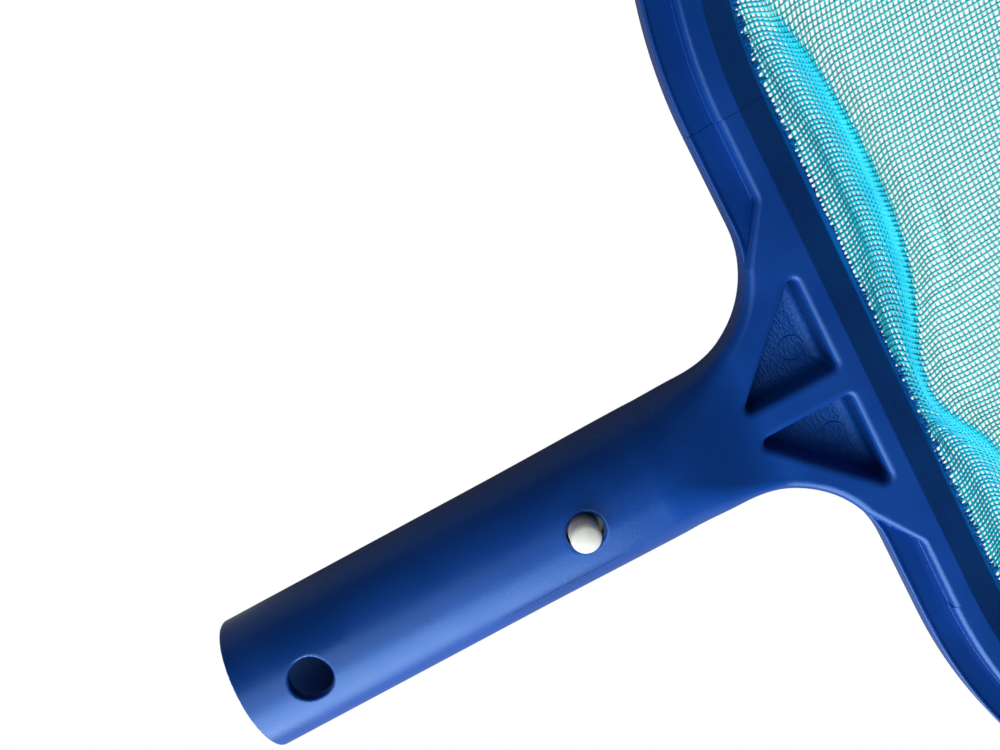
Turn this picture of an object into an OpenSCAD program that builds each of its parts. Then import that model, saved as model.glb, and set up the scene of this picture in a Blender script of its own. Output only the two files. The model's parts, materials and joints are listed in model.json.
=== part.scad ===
/* [Handle tube] */
// Outer diameter of the spigot that slides into a pole
spigot_d = 30; // [29:0.5:32]
// Length of the spigot that a pole covers before its end stop
spigot_len = 72; // [60:1:74]
// How much larger in radius the tube is past the spigot
shoulder_step = 0.25; // [0.1:0.05:0.4]
// Wall thickness of the tube
wall = 3; // [2.5:0.25:3.5]
// Where the round tube ends and the neck starts
tube_len = 100; // [98:1:102]
// Distance from the open end to the empty locking hole
lock_hole_x = 15.4; // [12:0.2:20]
// Diameter of the empty locking hole
lock_hole_d = 9.4; // [8:0.2:10]

/* [Snap buttons] */
// Distance from the open end to the hole that the buttons come through
button_hole_x = 80.4; // [78.6:0.2:81.4]
// Diameter of the button's hole
button_hole_d = 8.3; // [8.3:0.1:9]
// Diameter of a button above the tube
button_d = 6.5; // [6:0.1:6.7]
// How far a button stands out of the tube
button_out = 4; // [3:0.25:4.5]
// Rounding of the button's upper edge
button_edge = 1; // [0.6:0.1:1.4]

/* [Spring clip] */
// Thickness of the spring strip
strip_t = 0.8; // [0.6:0.1:1]
// Width of the spring strip
strip_w = 8; // [7:0.5:8.5]
// Outer radius of the clip's bend
bend_r = 4.6; // [4:0.1:5]

/* [Neck] */
// Radius of the concave flare between the tube and the rim
flare_r = 24; // [22:0.5:25]
// Depth of the triangular pockets
pocket_depth = 8.5; // [6:0.25:9]
// Width of the web between the two pockets
web_w = 6.7; // [6:0.1:9]
// How far the pair of pockets sits off the handle's middle, towards -Y
pocket_shift = 0.8; // [0:0.1:1.2]
// Length of a pocket along the handle
pocket_len = 21; // [18:0.2:21.6]
// Width of a pocket along the rim
pocket_w = 21.4; // [18:0.2:21.8]

/* [Rim] */
// Distance from the open end to the rim's outer edge
rim_x = 136.7; // [134:0.1:138]
// Half-length of the rim that is moulded with the handle
joint_y = 60; // [56:1:64]
// Width of the thin outer lip
lip_w = 1.2; // [1:0.1:2]
// Inset of the raised rib's outer wall
rib_in = 6.2; // [5.5:0.1:7]
// Inset of the raised rib's inner edge
rib_out = 11.3; // [10.5:0.1:12]
// Inset where the slope meets the edge band
slope_out = 17.8; // [17:0.1:19]
// Width of the edge band that holds the net
band_w = 1.2; // [1:0.1:3]
// Half-height of the raised rib
rib_h = 5.75; // [5:0.25:6.5]
// Height of the channel floor above the middle of the rim
channel_h = 3; // [1:0.1:4]
// Thickness of the channel floor
channel_t = 2.4; // [2:0.1:3]
// How far the outer lip stands above the channel floor
lip_rise = 0.5; // [0.3:0.1:1.2]
// How far the outer lip reaches below the middle of the rim
lip_low = 2.2; // [1:0.1:3]
// Half-height of the slope's end and of the edge band
web_h = 1.2; // [1:0.1:1.6]

/* [Hoop outline] */
// Radius of the rear curve
rear_r = 115; // [110:1:125]
// Radius of the rear corners
rear_corner_r = 52; // [48:1:56]
// Radius of the front corners
front_corner_r = 46; // [40:1:52]
// Angle that the rear curve turns before the rear corner
rear_turn = 17; // [14:1:20]
// Angle turned when the straight sides start
side_turn = 82; // [78:1:86]
// Angle turned when the front curve starts
front_turn = 170; // [166:1:172]
// Length of the straight sides
side_len = 186; // [150:1:200]

/* [Net] */
// Thickness of the net's solid
net_t = 1; // [0.8:0.1:1.2]
// Depth of the net's dish
net_sag = 9; // [4:0.5:9]

/* [Hidden] */
$fn = 96;

blue = [0.03, 0.17, 0.52];
band_blue = [0.03, 0.25, 0.66];
cyan = [0.2, 0.78, 0.86];
steel = [0.62, 0.63, 0.65];
ivory = [0.86, 0.85, 0.82];

spigot_r = spigot_d / 2;
tube_r = spigot_r + shoulder_step;
bore_r = spigot_r - wall;

// The clip's bend sits in a slot behind the bore, with its legs reaching back to the buttons.
clip_gap = 0.7;
bend_x = tube_len + 5;
slot_end = bend_x + bend_r + clip_gap;
slot_half_h = bend_r + 1.8;
leg_z = bore_r - 1.2;
leg_flat_start = 86;
leg_end = 75;

// A button is slightly thicker inside the tube than above it.
button_x = button_hole_x - 0.4;
button_base_d = button_d + 0.4;
button_shoulder_z = tube_r + 0.05;
button_base_z = leg_z + 0.05;
button_top_z = tube_r + button_out - shoulder_step;
button_crown = 0.25;

// The neck's flat faces reach from the tube to the rib's inner edge.
neck_start = 122;
flare_x = rim_x - flare_r;
flare_y = spigot_r + flare_r;
shoulder_turn = 339;
pocket_right = rim_x + 6.6;
pocket_corner_r = 1.2;
channel_start_y = flare_y + 3.4;

// Rim section as [inset from the outer edge, height].
lip_top = channel_h + lip_rise;
channel_low = channel_h - channel_t;
rim_section = [[0, lip_top], [lip_w, lip_top], [lip_w, channel_h], [rib_in, channel_h],
               [rib_in, rib_h], [rib_out, rib_h], [slope_out, web_h],
               [slope_out, -web_h], [rib_out, -rib_h], [rib_in, -rib_h],
               [rib_in, channel_low], [lip_w, channel_low], [lip_w, -lip_low], [0, -lip_low]];

// The outline is four tangent arcs on each side, with a straight side between the corners.
// An arc's station is [centre, radius, angle turned], counted from the rear edge.
function outward(turn) = [-cos(turn), sin(turn)];
function along(turn) = [sin(turn), cos(turn)];
rear_c = [rim_x + rear_r, joint_y];
rear_corner_c = rear_c + (rear_r - rear_corner_r) * outward(rear_turn);
front_corner_c = rear_corner_c + (rear_corner_r - front_corner_r) * outward(side_turn)
               + side_len * along(side_turn);
front_r = front_corner_r + front_corner_c.y / sin(front_turn);
front_c = front_corner_c + (front_corner_r - front_r) * outward(front_turn);

function stations(c, r, from, to, first, steps) =
    [for (i = [first:steps]) [c, r, from + (to - from) * i / steps]];
half_rim = concat(
    stations(rear_c, rear_r, 0, rear_turn, 0, 6),
    stations(rear_corner_c, rear_corner_r, rear_turn, side_turn, 1, 12),
    stations(front_corner_c, front_corner_r, side_turn, front_turn, 0, 16),
    stations(front_c, front_r, front_turn, 180, 1, 6));

// A station's point at an inset; side is 1 for +Y and -1 for -Y.
function rim_point(s, inset, side) =
    let (p = s[0] + (s[1] - inset) * outward(s[2])) [p.x, side * p.y];
function rim_outline(inset) = concat(
    [for (s = half_rim) rim_point(s, inset, 1)],
    [for (i = [len(half_rim) - 2:-1:0]) rim_point(half_rim[i], inset, -1)]);

// Faces of a tube of rings, each with `count` points, from ring `a` to ring `b`.
function ring_faces(a, b, count) =
    [for (j = [0:count - 1]) let (k = (j + 1) % count)
        [a * count + j, a * count + k, b * count + k, b * count + j]];

// Lies along Z, across both walls of the tube, at a distance x from the open end.
module cross_hole(x, d) {
    translate([x, 0, -tube_r - 1]) cylinder(d = d, h = 2 * tube_r + 2);
}

module tube_stretch(from, to, r) {
    translate([from, 0, 0]) rotate([0, 90, 0]) cylinder(r = r, h = to - from);
}

// The neck's plan: it follows the flare up to an angle, then runs straight to the rib.
module neck_outline(flare_end) {
    flare = [for (i = [0:18]) let (a = 270 + (flare_end - 270) * i / 18)
        [flare_x + flare_r * cos(a), flare_y + flare_r * sin(a)]];
    side = concat([[tube_len - 2, spigot_r]], flare,
                  [[rim_x + rib_in, channel_start_y], [rim_x + rib_out, channel_start_y]]);
    polygon(concat(side, [for (i = [len(side) - 1:-1:0]) [side[i].x, -side[i].y]]));
}

module pocket(side) {
    inner_y = web_w / 2 + pocket_corner_r;
    outer_y = web_w / 2 + pocket_w - pocket_corner_r;
    right = pocket_right - pocket_corner_r;
    left = pocket_right - pocket_len + pocket_corner_r;
    translate([0, 0, rib_h - pocket_depth]) linear_extrude(pocket_depth + 1) hull()
        for (p = [[left, inner_y], [right, inner_y], [right, outer_y]])
            translate([p.x, side * p.y - pocket_shift]) circle(r = pocket_corner_r, $fn = 24);
}

module rear_rim() {
    translate([rim_x, joint_y, 0]) rotate([90, 0, 0]) linear_extrude(2 * joint_y)
        polygon(rim_section);
}

module handle_moulding() {
    color(blue) difference() {
        union() {
            tube_stretch(0, spigot_len, spigot_r);
            tube_stretch(spigot_len, tube_len, tube_r);
            hull() {
                tube_stretch(tube_len - 0.5, tube_len, tube_r, $fn = 32);
                translate([neck_start, -spigot_r - 1, -rib_h]) cube([1, 2 * spigot_r + 2, 2 * rib_h]);
            }
            translate([0, 0, -rib_h]) linear_extrude(2 * rib_h) neck_outline(shoulder_turn);
            translate([0, 0, -lip_low]) linear_extrude(lip_low + lip_top) neck_outline(360);
            rear_rim();
        }
        tube_stretch(-1, tube_len + 1, bore_r);
        translate([tube_len, -strip_w / 2 - clip_gap, -slot_half_h])
            cube([slot_end - tube_len, strip_w + 2 * clip_gap, 2 * slot_half_h]);
        cross_hole(lock_hole_x, lock_hole_d);
        cross_hole(button_hole_x, button_hole_d);
        for (side = [-1, 1]) pocket(side);
    }
}

module hoop() {
    path = concat([for (s = half_rim) [s, 1]], [for (i = [len(half_rim) - 2:-1:0]) [half_rim[i], -1]]);
    count = len(rim_section);
    points = [for (p = path) for (q = rim_section)
        let (r = rim_point(p[0], q.x, p[1])) [r.x, r.y, q.y]];
    last = len(path) - 1;
    start_cap = [for (j = [count - 1:-1:0]) j];
    end_cap = [for (j = [0:count - 1]) last * count + j];
    walls = [for (i = [0:last - 1]) each ring_faces(i, i + 1, count)];
    color(blue) polyhedron(points, concat([start_cap, end_cap], walls), convexity = 6);
}

module edge_band() {
    color(band_blue) translate([0, 0, -web_h]) linear_extrude(2 * web_h) difference() {
        polygon(rim_outline(slope_out));
        polygon(rim_outline(slope_out + band_w));
    }
}

module net_mesh() {
    edge = rim_outline(slope_out + band_w);
    count = len(edge);
    rings = 7;
    middle = [(rim_x + front_c.x + front_r) / 2, 0];
    function net_ring(k, dz) = let (s = k / rings)
        [for (p = edge) [middle.x + s * (p.x - middle.x), s * p.y, dz - net_sag * (1 - s * s)]];
    // Upper face from the rim inwards, then lower face outwards, so that rings follow each other.
    order = concat([for (k = [rings:-1:1]) [k, net_t / 2]], [for (k = [1:rings]) [k, -net_t / 2]]);
    points = concat([for (o = order) each net_ring(o[0], o[1])],
                    [[middle.x, 0, net_t / 2 - net_sag], [middle.x, 0, -net_t / 2 - net_sag]]);
    top_mid = len(order) * count;
    upper = [for (k = [0:rings - 2]) each ring_faces(k + 1, k, count)];
    lower = [for (k = [rings:2 * rings - 2]) each ring_faces(k + 1, k, count)];
    rim_wall = ring_faces(0, 2 * rings - 1, count);
    top_fan = [for (j = [0:count - 1]) [(rings - 1) * count + j, top_mid, (rings - 1) * count + (j + 1) % count]];
    low_fan = [for (j = [0:count - 1]) [rings * count + (j + 1) % count, top_mid + 1, rings * count + j]];
    color(cyan) polyhedron(points, concat(upper, lower, rim_wall, top_fan, low_fan), convexity = 4);
}

module clip_bend() {
    color(steel) translate([bend_x, 0, 0]) rotate([90, 0, 0]) rotate([0, 0, -90])
        rotate_extrude(angle = 180)
            translate([bend_r - strip_t, -strip_w / 2]) square([strip_t, strip_w]);
}

// Leg of the spring clip on the side that z points to.
module clip_leg(z) {
    inner = [[leg_end, leg_z - strip_t], [leg_flat_start, leg_z - strip_t], [bend_x, bend_r - strip_t]];
    outer = [[bend_x, bend_r], [leg_flat_start, leg_z], [leg_end, leg_z]];
    color(steel) rotate([90, 0, 0]) linear_extrude(strip_w, center = true)
        polygon([for (p = concat(inner, outer)) [p.x, z * p.y]]);
}

module clip_leg_top() { clip_leg(1); }

module clip_leg_bottom() { clip_leg(-1); }

// Upright button: a thicker base in the tube, a straight stem and a rounded, faintly crowned top.
module button() {
    r = button_d / 2;
    edge_arc = [for (a = [0:15:90]) [r - button_edge + button_edge * cos(a),
                                     button_top_z - button_crown - button_edge * (1 - sin(a))]];
    color(ivory) translate([button_x, 0, 0]) rotate_extrude()
        polygon(concat([[0, button_base_z], [button_base_d / 2, button_base_z],
                        [button_base_d / 2, button_shoulder_z], [r, button_shoulder_z]],
                       edge_arc, [[0, button_top_z]]));
}

module button_top() { button(); }

module button_bottom() { rotate([180, 0, 0]) button(); }

handle_moulding();
hoop();
edge_band();
net_mesh();
clip_bend();
clip_leg_top();
clip_leg_bottom();
button_top();
button_bottom();
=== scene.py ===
"""Leaf skimmer net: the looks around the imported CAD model.

Lengths in the shape code are in millimetres.
"""

import json
import math

import bpy
import numpy as np
from mathutils import Matrix, Vector


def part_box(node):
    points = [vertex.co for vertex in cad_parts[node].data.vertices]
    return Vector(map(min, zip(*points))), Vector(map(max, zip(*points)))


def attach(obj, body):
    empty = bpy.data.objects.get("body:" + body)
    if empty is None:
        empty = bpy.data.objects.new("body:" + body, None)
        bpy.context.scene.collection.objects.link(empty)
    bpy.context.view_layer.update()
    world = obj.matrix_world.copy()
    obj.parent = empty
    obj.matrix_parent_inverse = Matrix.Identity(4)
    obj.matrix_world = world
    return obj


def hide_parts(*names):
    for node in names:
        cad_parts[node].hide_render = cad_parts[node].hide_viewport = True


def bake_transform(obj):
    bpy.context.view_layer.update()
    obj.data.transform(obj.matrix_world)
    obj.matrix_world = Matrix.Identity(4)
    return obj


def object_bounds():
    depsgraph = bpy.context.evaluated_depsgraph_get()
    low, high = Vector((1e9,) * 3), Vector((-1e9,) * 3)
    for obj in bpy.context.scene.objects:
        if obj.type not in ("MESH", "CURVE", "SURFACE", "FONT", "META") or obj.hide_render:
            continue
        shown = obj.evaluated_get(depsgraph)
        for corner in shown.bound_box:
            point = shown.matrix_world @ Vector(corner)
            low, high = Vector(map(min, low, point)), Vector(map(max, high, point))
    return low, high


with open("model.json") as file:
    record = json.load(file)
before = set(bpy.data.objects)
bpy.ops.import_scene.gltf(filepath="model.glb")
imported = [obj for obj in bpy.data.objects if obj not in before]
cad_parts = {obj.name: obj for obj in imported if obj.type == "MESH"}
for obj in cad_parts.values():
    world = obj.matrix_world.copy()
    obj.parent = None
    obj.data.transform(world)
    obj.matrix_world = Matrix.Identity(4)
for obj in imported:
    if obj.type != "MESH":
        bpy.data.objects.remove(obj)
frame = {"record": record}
CAD_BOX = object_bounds()

MM = 0.001
RNG = np.random.default_rng(7)


def node_box(node):
    """A CAD node's lowest and highest corners, in millimetres."""
    low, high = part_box(node)
    return np.array(low) / MM, np.array(high) / MM


# ---------------------------------------------------------------- sizes from the frame
HANDLE_HIGH = node_box("handle_moulding")[1]
HOOP_HIGH = node_box("hoop")[1]
BAND_LOW, BAND_HIGH = node_box("edge_band")
NET_LOW, NET_HIGH = node_box("net_mesh")
BUTTON_LOW, BUTTON_HIGH = node_box("button_top")
LEG_LOW, LEG_HIGH = node_box("clip_leg_top")
BEND_LOW, BEND_HIGH = node_box("clip_bend")
MOUNTS = {mount["name"]: mount for mount in frame["record"]["mounts"]}

TUBE_R = MOUNTS["pole_spigot"]["dims"]["r_mm"]
SPIGOT_LEN = MOUNTS["pole_spigot"]["dims"]["length_mm"]
LOCK_HOLE_R = MOUNTS["pole_lock_hole"]["dims"]["r_mm"]
LOCK_HOLE_X = MOUNTS["pole_lock_hole"]["pos_m"][0] / MM
BUTTON_R = MOUNTS["lock_pin_top"]["dims"]["r_mm"]
BUTTON_X = (BUTTON_LOW[0] + BUTTON_HIGH[0]) / 2
JOINT_Y = HANDLE_HIGH[1]
RIB_H = HOOP_HIGH[2]
SLOPE_END_X = HANDLE_HIGH[0]
NET_EDGE_X = NET_LOW[0]

# ---------------------------------------------------------------- the moulding's own sizes
TUBE_DRAFT = 0.25
BORE_R = 12.0
BORE_END = 100.0
SLOT_HALF = np.array([5.6, 4.7, 6.4])
BUTTON_HOLE_X = BUTTON_X + 0.4
BUTTON_HOLE_R = 4.15
FLARE_R = 24.0
SLOPE_OUT = 17.8
RIM_X = SLOPE_END_X - SLOPE_OUT
FLARE_C = (RIM_X - FLARE_R, TUBE_R + FLARE_R)
RIB_IN, RIB_OUT = 6.2, 11.3
RIB_EDGE_R, SLOPE_EDGE_R = 1.5, 0.15
SHOULDER_EXTRA = 0.9
LIP_W, LIP_TOP, LIP_LOW = 0.85, 3.6, 2.2
CHANNEL_H, CHANNEL_FALL, CHANNEL_T, WEB_H = 3.3, 1.1, 2.4, 1.2
V_CORNER = (RIM_X + 6.5, 42.4)
V_CORNER_R = 3.0
V_START_Y = 30.5
POCKET_DEPTH = 8.5
WEB_W = 6.7
POCKET_LEN, POCKET_W = 21.0, 21.4
POCKET_RIGHT = RIM_X + 6.6
POCKET_SHIFT = 0.8
POCKET_CORNER_R = 1.2
POCKET_DRAFT, POCKET_FILLET, POCKET_EDGE = 0.06, 2.8, 1.7
EJECTOR_R = 2.75
EJECTOR_X = POCKET_RIGHT - 5.7
EJECTOR_YS = (8.5, -13.5)
BAND_W = NET_EDGE_X - SLOPE_END_X
SEAM_Y, SEAM_W = -9.3, 0.3
SEAM_START, SEAM_END = 58.0, 86.0
LIP_R = 0.45
RIB_PITCH = 0.92
POCKET_FLOOR = RIB_H - POCKET_DEPTH
JOINT_BEVEL = 0.06
RING_R = 0.2
CLIP_THICKNESS = 0.8
CLIP_KNEE = 11

# The rim's outline: four tangent arcs on each side of the middle, as (radius, angle turned).
REAR_R, REAR_TURN = 115.0, 17.0
REAR_CORNER_R, SIDE_TURN = 52.0, 82.0
FRONT_CORNER_R, FRONT_TURN = 46.0, 170.0
SIDE_LEN = 186.0

# ---------------------------------------------------------------- camera, lights and floor
CAMERA_PLACE = Vector((92.14, 91.32, 256.05)) * MM
CAMERA_BACK = Vector((0.0462, 0.2162, 0.9753))
CAMERA_UP = Vector((0.4771, 0.8530, -0.2117))
CAMERA_LENS = 44.7
CAMERA_SENSOR = 36.0
WORLD_STRENGTH = 0.07
FLOOR_GAP, FLOOR_HALF = 0.0005, 3.0


def add_camera():
    data = bpy.data.cameras.new("camera")
    data.sensor_fit = "HORIZONTAL"
    data.sensor_width = CAMERA_SENSOR
    data.lens = CAMERA_LENS
    data.clip_start = 0.01
    camera = bpy.data.objects.new("camera", data)
    bpy.context.scene.collection.objects.link(camera)
    back = CAMERA_BACK.normalized()
    right = CAMERA_UP.cross(back).normalized()
    up = back.cross(right)
    turn = Matrix((right, up, back)).transposed().to_4x4()
    camera.matrix_world = Matrix.Translation(CAMERA_PLACE) @ turn
    bpy.context.scene.camera = camera


def add_softbox(name, direction, distance, size, radiance, colour=(1, 1, 1), target=(0.09, 0.0, 0.0)):
    """A rectangular light facing the target, with its first side level along X."""
    data = bpy.data.lights.new(name, "AREA")
    data.shape = "RECTANGLE"
    data.size, data.size_y = size
    data.color = colour
    data.energy = radiance * math.pi * size[0] * size[1]
    light = bpy.data.objects.new(name, data)
    bpy.context.scene.collection.objects.link(light)
    back = Vector(direction).normalized()
    across = (Vector((1, 0, 0)) - back * back.x).normalized()
    turn = Matrix((across, back.cross(across), back)).transposed().to_4x4()
    light.matrix_world = Matrix.Translation(Vector(target) + back * distance) @ turn


def add_studio():
    scene = bpy.context.scene
    scene.view_settings.view_transform = "Standard"
    scene.view_settings.look = "None"
    world = bpy.data.worlds.new("studio")
    world.use_nodes = True
    background = world.node_tree.nodes["Background"]
    background.inputs["Color"].default_value = (1, 1, 1, 1)
    background.inputs["Strength"].default_value = WORLD_STRENGTH
    scene.world = world
    add_softbox("key", (-0.66, -0.47, 0.66), 0.6, (0.63, 1.07), 2.2)
    add_softbox("low", (-0.62, -0.95, 0.50), 0.6, (0.6, 0.64), 3.3, (0.85, 1.0, 1.0))
    level = CAD_BOX[0][2] - FLOOR_GAP
    half = FLOOR_HALF
    square = [(-half, -half), (half, -half), (half, half), (-half, half)]
    add_card("floor", square, level, backdrop_material("floor_white", (1.0, 1.0, 1.0), 0.30))


def add_card(name, outline, level, material):
    """A flat sheet of the studio floor."""
    mesh = bpy.data.meshes.new(name)
    mesh.from_pydata([(float(x), float(y), level) for x, y in outline], [], [list(range(len(outline)))])
    mesh.materials.append(material)
    card = bpy.data.objects.new(name, mesh)
    bpy.context.scene.collection.objects.link(card)


# ---------------------------------------------------------------- materials
def new_material(name, colour, roughness, **settings):
    material = bpy.data.materials.new(name)
    material.use_nodes = True
    shader = material.node_tree.nodes["Principled BSDF"]
    shader.inputs["Base Color"].default_value = (*colour, 1)
    shader.inputs["Roughness"].default_value = roughness
    for socket, value in settings.items():
        shader.inputs[socket.replace("_", " ")].default_value = value
    return material, material.node_tree, shader


def add_node(tree, kind, **settings):
    node = tree.nodes.new(kind)
    for key, value in settings.items():
        if hasattr(node, key):
            setattr(node, key, value)
        else:
            node.inputs[key.replace("_", " ")].default_value = value
    return node


def noise(tree, scale, detail=3.0, stretch=(1, 1, 1), distortion=0.0):
    """3-D noise over the object's own coordinates; scale is in features per metre."""
    place = add_node(tree, "ShaderNodeTexCoord")
    mapping = add_node(tree, "ShaderNodeMapping")
    mapping.inputs["Scale"].default_value = stretch
    texture = add_node(tree, "ShaderNodeTexNoise", Scale=scale, Detail=detail, Distortion=distortion)
    tree.links.new(place.outputs["Object"], mapping.inputs["Vector"])
    tree.links.new(mapping.outputs["Vector"], texture.inputs["Vector"])
    return texture.outputs["Fac"]


def colour_ramp(tree, source, stops):
    ramp = add_node(tree, "ShaderNodeValToRGB")
    ramp.color_ramp.interpolation = "EASE"
    elements = ramp.color_ramp.elements
    for index, (position, colour) in enumerate(stops):
        element = elements[index] if index < 2 else elements.new(position)
        element.position = position
        element.color = (*colour, 1)
    tree.links.new(source, ramp.inputs["Fac"])
    return ramp.outputs["Color"]


def map_range(tree, source, low, high, to_low, to_high, kind="SMOOTHSTEP"):
    node = add_node(tree, "ShaderNodeMapRange", interpolation_type=kind)
    for key, value in (("From Min", low), ("From Max", high), ("To Min", to_low), ("To Max", to_high)):
        node.inputs[key].default_value = value
    tree.links.new(source, node.inputs["Value"])
    return node.outputs["Result"]


def mix_colour(tree, share, source, colour):
    """The source's colour, replaced by one colour where share is 1."""
    mix = add_node(tree, "ShaderNodeMix", data_type="RGBA")
    mix.inputs[7].default_value = (*colour, 1)
    tree.links.new(share, mix.inputs[0])
    tree.links.new(source, mix.inputs[6])
    return mix.outputs[2]


def multiply(tree, first, *factors):
    for factor in factors:
        product = add_node(tree, "ShaderNodeMath", operation="MULTIPLY")
        tree.links.new(first, product.inputs[0])
        tree.links.new(factor, product.inputs[1])
        first = product.outputs[0]
    return first


def add_bump(tree, shader, source, strength, distance, under=None):
    bump = add_node(tree, "ShaderNodeBump", Strength=strength, Distance=distance)
    tree.links.new(source, bump.inputs["Height"])
    if under is not None:
        tree.links.new(under.outputs["Normal"], bump.inputs["Normal"])
    tree.links.new(bump.outputs["Normal"], shader.inputs["Normal"])
    return bump


def backdrop_material(name, seen, bounced):
    """A backdrop that looks evenly lit to the camera and bounces less light than it shows."""
    material, tree, shader = new_material(name, (bounced, bounced, bounced), 0.9)
    glow = add_node(tree, "ShaderNodeEmission")
    glow.inputs["Color"].default_value = (*seen, 1)
    path = add_node(tree, "ShaderNodeLightPath")
    mix = add_node(tree, "ShaderNodeMixShader")
    tree.links.new(path.outputs["Is Camera Ray"], mix.inputs["Fac"])
    tree.links.new(shader.outputs["BSDF"], mix.inputs[1])
    tree.links.new(glow.outputs["Emission"], mix.inputs[2])
    tree.links.new(mix.outputs["Shader"], tree.nodes["Material Output"].inputs["Surface"])
    return material


def moulded_blue(name, dark, light, roughness, shine=0.75):
    """Satin moulded plastic: slight colour drift, a fine skin, and the seam along the tube."""
    material, tree, shader = new_material(name, light, roughness, Specular_IOR_Level=shine,
                                          Specular_Tint=(0.35, 0.6, 1.0, 1.0))
    drift = colour_ramp(tree, noise(tree, 30, 4), [(0.35, dark), (0.65, light)])
    tree.links.new(map_range(tree, noise(tree, 60, 5), 0.3, 0.7, roughness - 0.05, roughness + 0.06),
                   shader.inputs["Roughness"])
    skin = add_bump(tree, shader, noise(tree, 1500, 2), 0.16, 0.00014)
    place = add_node(tree, "ShaderNodeSeparateXYZ")
    tree.links.new(add_node(tree, "ShaderNodeTexCoord").outputs["Object"], place.inputs["Vector"])
    seam = add_node(tree, "ShaderNodeMath", operation="COMPARE")
    tree.links.new(place.outputs["Y"], seam.inputs[0])
    seam.inputs[1].default_value, seam.inputs[2].default_value = SEAM_Y * MM, SEAM_W * MM / 2
    starts = map_range(tree, place.outputs["X"], (SEAM_START - 8) * MM, (SEAM_START + 8) * MM, 0.0, 1.0)
    ends = map_range(tree, place.outputs["X"], (SEAM_END - 3) * MM, SEAM_END * MM, 1.0, 0.0)
    line = multiply(tree, seam.outputs[0], starts, ends)
    add_bump(tree, shader, line, 0.5, -0.0001, under=skin)
    seam_colour = [0.35 * value for value in dark]
    tree.links.new(mix_colour(tree, line, drift, seam_colour), shader.inputs["Base Color"])
    return material


def pocket_blue_painted_shade_and_light(name, wall, side, floor, roughness):
    """The pockets' plastic: a grained floor, ribbed near the pointed end, and walls darkened by painted
    shade.

    The walls that face +Y get a lighter blue instead, as painted light.
    """
    material, tree, shader = new_material(name, floor, roughness, Specular_IOR_Level=0.5,
                                          Specular_Tint=(0.35, 0.6, 1.0, 1.0))
    # Painted shade: steep walls fade to the dark wall colour by their slope. Painted light: walls that face
    # +Y take the lighter side colour.
    facing = add_node(tree, "ShaderNodeSeparateXYZ")
    tree.links.new(add_node(tree, "ShaderNodeNewGeometry").outputs["Normal"], facing.inputs["Vector"])
    painted_shade_by_slope = colour_ramp(tree, facing.outputs["Z"], [(0.25, wall), (0.85, floor)])
    painted_light_towards_y = map_range(tree, facing.outputs["Y"], 0.2, 0.95, 0.0, 1.0)
    tree.links.new(mix_colour(tree, painted_light_towards_y, painted_shade_by_slope, side), shader.inputs["Base Color"])
    grain = map_range(tree, noise(tree, 1700, 3, (1.0, 0.6, 0.5), 0.2), 0.3, 0.7, 0.0, 1.0)
    skin = add_bump(tree, shader, grain, 0.65, 0.00016)
    place = add_node(tree, "ShaderNodeSeparateXYZ")
    tree.links.new(add_node(tree, "ShaderNodeTexCoord").outputs["Object"], place.inputs["Vector"])
    ribs = add_node(tree, "ShaderNodeMath", operation="SINE")
    turns = map_range(tree, place.outputs["X"], 0.0, RIB_PITCH * MM, 0.0, 2 * math.pi, "LINEAR")
    turns.node.clamp = False
    tree.links.new(turns, ribs.inputs[0])
    share = map_range(tree, place.outputs["X"], (POCKET_RIGHT - POCKET_LEN + 5) * MM,
                      (POCKET_RIGHT - POCKET_LEN + 12) * MM, 1.0, 0.0)
    patchy = map_range(tree, noise(tree, 500, 2), 0.35, 0.65, 0.0, 1.0)
    add_bump(tree, shader, multiply(tree, ribs.outputs[0], share, patchy), 0.6, 0.00010, under=skin)
    return material


def net_thread(name, dark, light):
    material, tree, shader = new_material(name, light, 0.42, Specular_IOR_Level=0.4)
    drift = colour_ramp(tree, noise(tree, 90, 3), [(0.35, dark), (0.65, light)])
    tree.links.new(drift, shader.inputs["Base Color"])
    return material


def button_material():
    material, tree, shader = new_material("button_ivory", (0.85, 0.83, 0.79), 0.5, Subsurface_Weight=0.7,
                                          Subsurface_Radius=(1.0, 0.95, 0.85), Subsurface_Scale=0.003)
    stops = [(0.3, (0.80, 0.78, 0.74)), (0.7, (0.90, 0.88, 0.85))]
    drift = colour_ramp(tree, noise(tree, 250, 4), stops)
    tree.links.new(drift, shader.inputs["Base Color"])
    add_bump(tree, shader, noise(tree, 2500, 2), 0.15, 0.0001)
    return material


def steel_material():
    # The dark base colour is painted shade: the clip shows only through the button holes, in the tube's
    # shade.
    material, tree, shader = new_material("spring_steel", (0.20, 0.22, 0.21), 0.3, Metallic=1.0)
    brushed = noise(tree, 700, 3, (0.15, 2.0, 2.0))
    tree.links.new(map_range(tree, brushed, 0.3, 0.7, 0.22, 0.42), shader.inputs["Roughness"])
    add_bump(tree, shader, brushed, 0.2, 0.00005)
    return material


BLUE = moulded_blue("blue_plastic", (0.003, 0.048, 0.285), (0.004, 0.061, 0.355), 0.30)
# Painted shade: the bore's inside is a darker, duller copy of the blue, for the dark inside the tube.
BORE_BLUE_PAINTED_SHADE = moulded_blue("blue_plastic_bore", (0.008, 0.034, 0.13), (0.010, 0.042, 0.17), 0.5, 0.4)
BAND_BLUE = moulded_blue("band_plastic", (0.002, 0.14, 0.62), (0.003, 0.25, 0.92), 0.5, 0.3)
# Pocket colours: dark walls (painted shade), lighter +Y-facing walls (painted light), then the floor.
POCKET_BLUE_PAINTED_SHADE_AND_LIGHT = pocket_blue_painted_shade_and_light("blue_plastic_pocket", (0.0018, 0.034, 0.19), (0.005, 0.09, 0.34),
                          (0.005, 0.078, 0.40), 0.40)
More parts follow.
